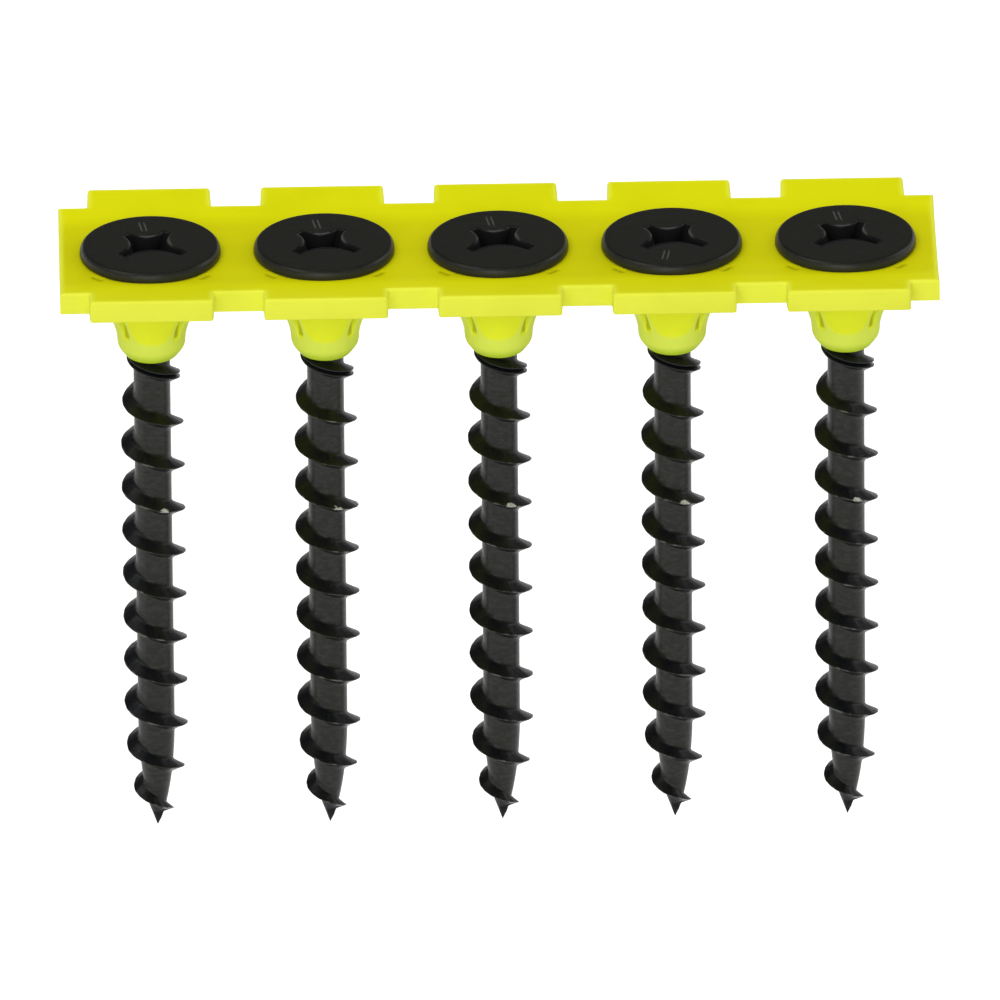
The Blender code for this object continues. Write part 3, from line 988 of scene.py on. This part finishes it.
@dataclass
class CarrierPlate:
    """The flat of the strip round one screw, with a tab in front and a tab behind.

    Columns run out from the screw's axis to the plate's outline, and rows run from the hole over the top,
    round the edge and back underneath.
    """

    number: int
    count: int
    axis_x: float
    section: StripSection
    finish: bpy.types.Material
    tear_lines: TearLines = TearLines(math.radians(4.0), math.radians(2.5))
    tab_reach: float = 7.75
    tab_root_half: float = 3.66
    tab_tip_half: float = 3.60
    tab_cut: float = 0.20
    root_cut: float = 0.12
    end_overhang: float = 5.35
    hole_radius: float = 3.9
    dip_radius: float = 4.42
    dip_half: float = 0.13
    dip_depth: float = 0.16
    dip_shade_tone: float = 0.5
    dip_zone: float = 0.55
    dip_rows: tuple[float, ...] = (0.0, 0.25, 0.37, 0.44, 0.5, 0.56, 0.63, 0.75, 1.0)
    edge_rows: tuple[float, ...] = (0.75, 0.5, 0.3, 0.16, 0.11, 0.075, 0.045, 0.022, 0.008, 0.0)
    corner_steps: int = 7
    spacing: float = 0.4

    def limits(self) -> tuple[float, float]:
        """Returns the plate's left and right ends: a seam with the web, or the strip's cut end."""
        left = self.end_overhang if self.number == 1 else self.section.seam_x
        right = self.end_overhang if self.number == self.count else self.section.seam_x
        return -left, right

    def tab_chain(self, side: Side) -> Floats:
        """Returns one long edge of the plate with its tab, anticlockwise seen from above."""
        left, right = self.limits()
        sign = side.value
        band, reach = self.section.band_half, self.tab_reach
        start, stop = (right, left) if side is Side.BACK else (left, right)
        corners = np.array(
            [
                [start, sign * band],
                [sign * self.tab_root_half, sign * band],
                [sign * self.tab_tip_half, sign * reach],
                [-sign * self.tab_tip_half, sign * reach],
                [-sign * self.tab_root_half, sign * band],
                [stop, sign * band],
            ]
        )
        cuts = np.array([self.root_cut, self.tab_cut, self.tab_cut, self.root_cut])
        return filleted(corners, cuts, self.corner_steps)

    def outline(self) -> tuple[Floats, Floats]:
        """Works out the plate's outline and its free edges.

        Returns:
            The closed outline's points, and the free edges as rows of start and end.
        """
        left, right = self.limits()
        y = self.section.stations()
        chains = [self.tab_chain(Side.BACK), self.tab_chain(Side.FRONT)]
        ends = [np.column_stack([np.full_like(y, right), y]), np.column_stack([np.full_like(y, left), -y])]
        free = chains + [end for end, x in zip(ends, (right, left)) if abs(x) == self.end_overhang]
        edges = np.concatenate([np.concatenate([line[:-1], line[1:]], axis=1) for line in free])
        back, front = (densified(chain, self.spacing) for chain in chains)
        loop = np.concatenate([ends[0][:-1], back[:-1], ends[1][:-1], front[:-1]])
        return loop, edges

    def reach_at(self, loop: Floats) -> tuple[Floats, Floats]:
        """Works out the columns: one to each outline point and several across each tear line.

        A column at angle a meets the outline's edge A to B at A + t (B - A), where
        t = (A x d) / (A x d - B x d) and d is the column's direction.

        Args:
            loop: the closed outline.

        Returns:
            The columns' angles and how far out each meets the outline.
        """
        closed = np.concatenate([loop, loop[:1]])
        corner = np.unwrap(np.arctan2(closed[:, 1], closed[:, 0]))
        torn = corner[0] + (self.tear_lines.stations() - corner[0]) % TURN
        angle = np.unique(np.round(np.concatenate([corner[:-1], torn]), 6))
        edge = np.clip(np.searchsorted(corner, angle, side="right") - 1, 0, len(loop) - 1)
        way = np.stack([np.cos(angle), np.sin(angle)], axis=1)
        first, second = closed[edge], closed[edge + 1]
        cross_first = first[:, 0] * way[:, 1] - first[:, 1] * way[:, 0]
        cross_second = second[:, 0] * way[:, 1] - second[:, 1] * way[:, 0]
        share = cross_first / (cross_first - cross_second)
        return angle, np.linalg.norm(first + share[:, None] * (second - first), axis=1)

    def away_from(self, places: Floats, edges: Floats) -> Floats:
        """Returns each place's distance to the nearest free edge."""
        start, run = edges[:, :2], edges[:, 2:] - edges[:, :2]
        flat = places.reshape(-1, 1, 2) - start
        share = np.clip((flat * run).sum(axis=2) / (run**2).sum(axis=1), 0.0, 1.0)
        return np.linalg.norm(flat - share[..., None] * run, axis=2).min(axis=1).reshape(places.shape[:-1])

    def surface(self) -> Surface:
        """Works out the plate as one closed surface, whose top has a dip near the hole at each tear line.

        The dip's depth falls off along a radius as exp(-(d / half width)^2), and the same share paints it
        darker as painted shade.

        Returns:
            The surface at the plate's place in the strip.
        """
        loop, edges = self.outline()
        angle, reach = self.reach_at(loop)
        way = np.stack([np.cos(angle), np.sin(angle)], axis=1)
        past_dip = 2.0 * self.dip_radius - self.hole_radius
        inner = np.minimum(past_dip, self.hole_radius + self.dip_zone * (reach - self.hole_radius))
        beside = self.hole_radius + (inner - self.hole_radius) * np.array(self.dip_rows)[:, None]
        radius = np.concatenate([beside, reach - (reach - inner) * np.array(self.edge_rows)[:, None]])
        places = radius[..., None] * way
        away = self.away_from(places, edges)
        dip = self.tear_lines.share(angle) * np.exp(-(((radius - self.dip_radius) / self.dip_half) ** 2))
        height = self.section.top(places[..., 1], away) - self.dip_depth * dip
        top = np.concatenate([places, height[..., None]], axis=2)
        under = np.concatenate([places, self.section.under(places[..., 1], away)[..., None]], axis=2)
        # painted glow at the plate's free edges
        thin_glow = self.section.edge_glow(away)
        # painted shade in the dips near the hole
        tone = np.concatenate([thin_glow - self.dip_shade_tone * dip, thin_glow[::-1]])
        return Surface.of_rings(np.concatenate([top, under[::-1]]), tone, self.axis_x)

    def dress(self) -> bpy.types.Object:
        """Builds the plate, which stands for its CAD node and rides on its pocket."""
        piece = self.surface().to_object(f"strip_plate_{self.number}", self.finish)
        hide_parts(f"carrier_{self.number}")
        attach(piece, f"pocket_{self.number}")
        return piece


@dataclass
class StripWeb:
    """The thin stretch of strip between two plates, which bends as a hinge."""

    number: int
    middle_x: float
    half_width: float
    section: StripSection
    finish: bpy.types.Material
    stations: int = 13

    def surface(self) -> Surface:
        """Carries the strip's cross-section along X and closes both ends.

        Returns:
            The surface between the two plates' seams.
        """
        y = self.section.stations()
        away = self.section.band_half - np.abs(y)
        x = self.middle_x + np.linspace(-self.half_width, self.half_width, self.stations)
        ring = np.concatenate(
            [
                np.column_stack([y, self.section.top(y, away)]),
                np.column_stack([y[::-1], self.section.under(y, away)[::-1]]),
            ]
        )
        points = np.concatenate(
            [
                np.broadcast_to(x[:, None, None], (len(x), len(ring), 1)),
                np.broadcast_to(ring[None], (len(x), len(ring), 2)),
            ],
            axis=2,
        )
        grid = np.arange(len(x) * len(ring)).reshape(len(x), -1)
        sides = np.concatenate([ring_quads(a, b) for a, b in zip(grid[:-1], grid[1:])])
        across = len(y)
        ends = ((grid[0], -1), (grid[-1], 1))
        caps = [band_quads(end[:across], end[across:][::-1])[:, ::turn] for end, turn in ends]
        quads = np.concatenate([sides, *caps])
        # painted glow at the web's free edges
        tone = np.tile(self.section.edge_glow(np.concatenate([away, away[::-1]])), len(x))
        return Surface(points.reshape(-1, 3), quads, np.empty((0, 3), dtype=int), {"tone": tone})

    def dress(self) -> bpy.types.Object:
        """Builds the web between the two pockets that it joins, with its place baked into the mesh."""
        piece = self.surface().to_object(f"strip_web_{self.number}", self.finish)
        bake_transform(piece)
        return piece


@dataclass
class SplitCollar:
    """The collar under a plate: four fingers that flare up into the plate from a ring round the neck.

    A groove with a straight floor lies between each two fingers, so it is deepest at the top and runs out
    at the ring; it is painted darker as painted shade. The front and back fingers are tongues with round
    ends, and past their edges the collar is painted paler as a painted glow.
    """

    number: int
    axis_x: float
    finish: bpy.types.Material
    tear_lines: TearLines = TearLines(math.radians(4.0), math.radians(4.0))
    groove_radius: float = 2.0
    groove_shade_tone: float = -0.45
    skin: float = 0.15
    tongue_half_angle: float = math.radians(33.0)
    tongue_round: Span = (-2.5, -3.75)
    tongue_edge: float = 0.92
    tongue_fade: float = 0.16
    side_glow_tone: float = 0.9
    top_z: float = 1.0
    mouth_radius: float = 4.25
    waist_radius: float = 1.98
    waist_z: float = -4.3
    waist_drop: float = 0.1
    flare_power: float = 1.9
    sill_z: float = -3.75
    sill_fade: float = 0.5
    foot_z: float = -5.10
    foot_radius: float = 1.45
    foot_cuts: tuple[float, float, float] = (0.28, 0.22, 0.05)
    corner_steps: int = 6
    bore_radius: float = 1.12
    head_reach: float = 3.14
    head_foot_z: float = -3.2
    head_height: float = 4.7
    head_power: float = 1.9
    flare_rows: int = 42
    even_columns: int = 96

    def flare(self, height: Floats) -> Floats:
        """Returns the fingers' outer radius, waist + (mouth - waist) * share ** power up to z 0."""
        share = np.clip(1.0 - height / self.waist_z, 0.0, 1.0)
        return self.waist_radius + (self.mouth_radius - self.waist_radius) * share**self.flare_power

    def clear_of_head(self, height: Floats) -> Floats:
        """Returns the least inner radius that clears the screw's bugle and neck."""
        share = np.clip((height - self.head_foot_z) / self.head_height, 0.0, 1.0)
        return self.bore_radius + self.head_reach * share**self.head_power

    def profile(self) -> Floats:
        """Works out the collar's closed section, down the outside and up the inside.

        Returns:
            Radius and height, one row a ring, the fingers' outside first.
        """
        height = np.linspace(self.top_z, self.sill_z, self.flare_rows)
        outer = self.flare(height)
        inner = self.clear_of_head(height)
        corners = np.array(
            [
                [outer[-1], self.sill_z],
                [self.waist_radius, self.waist_z - self.waist_drop],
                [self.foot_radius, self.foot_z],
                [self.bore_radius, self.foot_z],
                [inner[-1], self.sill_z],
            ]
        )
        foot = filleted(corners, np.array(self.foot_cuts), self.corner_steps)[1:-1]
        outside = np.column_stack([outer, height])
        inside = np.column_stack([inner, height])[::-1]
        return np.concatenate([outside, foot, inside])

    def side_glow(self, angle: Floats, height: Floats) -> Floats:
        """Works out where the collar is painted paler as a painted glow: past the edge of the front and back
        tongues.

        The edge is a U whose foot is half an ellipse.

        Args:
            angle: the columns' angles.
            height: the height of each point of the outside.

        Returns:
            0 on the tongues and 1 past their edge.
        """
        start, stop = self.tongue_round
        aside = np.arcsin(np.abs(np.cos(angle))) / self.tongue_half_angle
        below = np.clip((height - start) / (stop - start), 0.0, None)
        return eased((np.hypot(aside, below) - self.tongue_edge) / self.tongue_fade)

    def surface(self) -> Surface:
        """Turns the section about the axis and sinks the grooves between the fingers.

        In a groove the outside falls to the groove's radius, or to the skin left over the head.

        Returns:
            The surface at the collar's place in the strip.
        """
        profile = self.profile()
        even = TURN * np.arange(self.even_columns) / self.even_columns
        angle = np.unique(np.round(np.concatenate([self.tear_lines.stations(), even]), 6))
        radius, height = (np.repeat(profile[:, axis, None], len(angle), axis=1) for axis in (0, 1))
        outer, z = radius[: self.flare_rows], height[: self.flare_rows]
        floor = np.maximum(self.groove_radius, self.clear_of_head(z) + self.skin)
        sunk = self.tear_lines.share(angle) * eased((z - self.sill_z) / self.sill_fade)
        outer -= np.maximum(outer - floor, 0.0) * sunk
        tone = np.zeros(radius.shape)
        # painted glow past the tongues, and painted shade in the grooves
        pale = self.side_glow_tone * self.side_glow(angle, z)
        tone[: self.flare_rows] = pale * (1.0 - sunk) + self.groove_shade_tone * sunk
        rings = np.stack([radius * np.cos(angle), radius * np.sin(angle), height], axis=2)
        return Surface.of_rings(rings, tone, self.axis_x)

    def dress(self) -> bpy.types.Object:
        """Builds the collar, which stands for its CAD node and rides on its pocket."""
        piece = self.surface().to_object(f"split_collar_{self.number}", self.finish)
        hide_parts(f"collar_{self.number}")
        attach(piece, f"pocket_{self.number}")
        return piece


@dataclass(frozen=True)
class SoftLight:
    """A rectangular studio lamp aimed at the strip, placed by azimuth and elevation as the camera is."""

    name: str
    azimuth: float
    elevation: float
    distance: float
    size: Span
    power: float

    def place(self, aim: Vector) -> None:
        """Adds the lamp, facing `aim`."""
        lamp = bpy.data.lights.new(self.name, "AREA")
        lamp.shape = "RECTANGLE"
        lamp.size, lamp.size_y = self.size
        lamp.energy = self.power
        holder = bpy.data.objects.new(self.name, lamp)
        back = direction(self.azimuth, self.elevation)
        holder.matrix_world = facing(aim + back * self.distance, back, 0.0)
        bpy.context.scene.collection.objects.link(holder)


def direction(azimuth: float, elevation: float) -> Vector:
    """Returns the way from the object to a viewer at these angles in degrees; azimuth 0 is in front."""
    turn, rise = math.radians(azimuth), math.radians(elevation)
    return Vector((math.sin(turn) * math.cos(rise), -math.cos(turn) * math.cos(rise), math.sin(rise)))


def facing(place: Vector, back: Vector, roll: float) -> Matrix:
    """Returns the matrix of a lamp or camera at a place, its back along `back`, rolled by some degrees."""
    right = Vector((-back.y, back.x, 0.0)).normalized()
    up = back.cross(right)
    turn = math.radians(roll)
    across = right * math.cos(turn) - up * math.sin(turn)
    upward = right * math.sin(turn) + up * math.cos(turn)
    return Matrix.Translation(place) @ Matrix((across, upward, back)).transposed().to_4x4()


@dataclass
class Studio:
    """The floor, lamps, background and camera."""

    strip_middle: Vector = field(default_factory=lambda: Vector((0.0, 0.0, -16.0 * MM)))
    azimuth: float = -1.0
    elevation: float = 26.0
    roll: float = 0.485
    distance: float = 2.0
    pixels_per_mm: float = 16.978
    frame_pixels: float = 1000.0
    middle_pixel: Span = (500.15, 514.9)
    sensor: float = 36.0
    clip: Span = (0.01, 50.0)
    floor_z: float = -0.10
    floor_half: float = 4.0
    floor_grey: Colour = (0.86, 0.86, 0.86, 1.0)
    floor_glow: float = 0.55
    ambient: float = 0.50
    horizon: Span = (0.08, 0.30)
    overhead: float = 0.07
    lamps: tuple[SoftLight, ...] = (
        SoftLight("front_lamp", -8.0, 28.0, 0.60, (0.40, 0.40), 1.22),
        SoftLight("top_lamp", 170.0, 80.0, 0.50, (0.22, 0.22), 0.26),
        SoftLight("left_lamp", -76.0, 60.0, 0.50, (0.22, 0.22), 0.34),
        SoftLight("right_lamp", 112.0, 32.0, 0.50, (0.20, 0.25), 0.30),
        SoftLight("low_left_card", -76.0, -20.0, 0.13, (0.025, 0.06), 0.003),
    )

    def set_camera(self) -> None:
        """Adds the camera that frames the strip as the photograph does."""
        data = bpy.data.cameras.new("camera")
        data.sensor_width = self.sensor
        data.lens = self.sensor * self.distance / (self.frame_pixels / self.pixels_per_mm * MM)
        data.clip_start, data.clip_end = self.clip
        back = direction(self.azimuth, self.elevation)
        turned = facing(Vector(), back, self.roll).to_3x3()
        step = MM / self.pixels_per_mm
        right = (self.frame_pixels / 2.0 - self.middle_pixel[0]) * step
        up = (self.middle_pixel[1] - self.frame_pixels / 2.0) * step
        aim = self.strip_middle + turned.col[0] * right + turned.col[1] * up
        camera = bpy.data.objects.new("camera", data)
        camera.matrix_world = facing(aim + back * self.distance, back, self.roll)
        bpy.context.scene.collection.objects.link(camera)
        bpy.context.scene.camera = camera

    def seen_directly(self, sheet: NodeSheet) -> bpy.types.NodeSocket:
        """Returns 1 for the camera's rays, reflections and glass, and 0 for light that falls on things."""
        path = sheet.add("ShaderNodeLightPath").outputs
        shown = path["Is Camera Ray"]
        for other in ("Is Glossy Ray", "Is Transmission Ray"):
            shown = sheet.math("MAXIMUM", shown, path[other])
        return shown

    def set_world(self) -> None:
        """Makes a background, white up to the horizon and dim overhead, that lights at the ambient level."""
        world = bpy.data.worlds.new("studio_world")
        world.use_nodes = True
        world.node_tree.nodes.clear()
        sheet = NodeSheet(world.node_tree)
        way = sheet.add("ShaderNodeTexCoord").outputs["Generated"]
        height = sheet.add("ShaderNodeSeparateXYZ", {0: way}).outputs[2]
        sweep = sheet.ranged(height, self.horizon, (1.0, self.overhead))
        shown = self.seen_directly(sheet)
        level = sheet.add("ShaderNodeMix", {0: shown, 2: self.ambient, 3: sweep}).outputs[0]
        light = sheet.add("ShaderNodeBackground", {"Color": WHITE, "Strength": level})
        sheet.add("ShaderNodeOutputWorld", {0: light.outputs[0]})
        bpy.context.scene.world = world

    def lay_floor(self) -> None:
        """Lays a pale floor that shows white where it is lit and still takes a shadow."""
        material, sheet = new_material("pale_floor")
        diffuse = sheet.add("ShaderNodeBsdfDiffuse", {"Color": self.floor_grey})
        lift = sheet.ranged(self.seen_directly(sheet), (0.0, 1.0), (0.0, self.floor_glow))
        glow = sheet.add("ShaderNodeEmission", {"Color": WHITE, "Strength": lift})
        both = sheet.add("ShaderNodeAddShader", {0: diffuse.outputs[0], 1: glow.outputs[0]})
        sheet.add("ShaderNodeOutputMaterial", {0: both.outputs[0]})
        half = self.floor_half
        corners = np.array([[-half, -half], [half, -half], [half, half], [-half, half]])
        mesh = bpy.data.meshes.new("studio_floor")
        mesh.from_pydata(np.column_stack([corners, np.full(4, self.floor_z)]).tolist(), [], [(0, 1, 2, 3)])
        mesh.materials.append(material)
        floor = bpy.data.objects.new("studio_floor", mesh)
        bpy.context.scene.collection.objects.link(floor)

    def set_up(self) -> None:
        """Builds the studio round the strip."""
        bpy.context.scene.view_settings.view_transform = "Standard"
        self.set_camera()
        self.set_world()
        self.lay_floor()
        for lamp in self.lamps:
            lamp.place(self.strip_middle)


def main() -> None:
    """Builds the studio and the pieces in order: screws, plates, collars and webs."""
    logging.basicConfig(level=logging.INFO, format="%(message)s")
    Studio().set_up()
    steel = PhosphateFinish().build()
    strip_yellow = PlasticFinish(
        "strip_yellow",
        Ramp.ACROSS,
        # painted shade: the strip's middle between the heads is darker, its wings paler
        (
            (0.0, srgb(213, 210, 6)),
            (3.6, srgb(216, 214, 8)),
            (4.8, srgb(226, 226, 10)),
            (7.75, srgb(225, 226, 14)),
        ),
        thin_glow=srgb(242, 247, 76),
    ).build()
    collar_yellow = PlasticFinish(
        "collar_yellow",
        Ramp.DEPTH,
        # painted light: the pale band low on the collar is a painted glow, and the greener foot painted
        # shade where the black screw shows through
        (
            (0.0, srgb(238, 247, 44)),
            (3.45, srgb(245, 254, 52)),
            (3.75, srgb(232, 247, 96)),
            (4.3, srgb(228, 244, 92)),
            (4.95, srgb(190, 217, 46)),
        ),
        thin_glow=srgb(232, 247, 96),
    ).build()
    section = StripSection()
    screws = [
        WoodScrew(number, Side.FRONT if number == FRONT_GROOVE_SCREW else Side.BACK, steel)
        for number in range(1, SCREW_COUNT + 1)
    ]
    for screw in screws:
        screw.dress()
    for screw in screws:
        CarrierPlate(screw.number, len(screws), screw.axis_x, section, strip_yellow).dress()
        SplitCollar(screw.number, screw.axis_x, collar_yellow).dress()
    for screw, following in zip(screws[:-1], screws[1:]):
        half_width = (following.axis_x - screw.axis_x) / 2.0 - section.seam_x
        middle = (screw.axis_x + following.axis_x) / 2.0
        StripWeb(screw.number, middle, half_width, section, strip_yellow).dress()


if __name__ == "__main__":
    main()
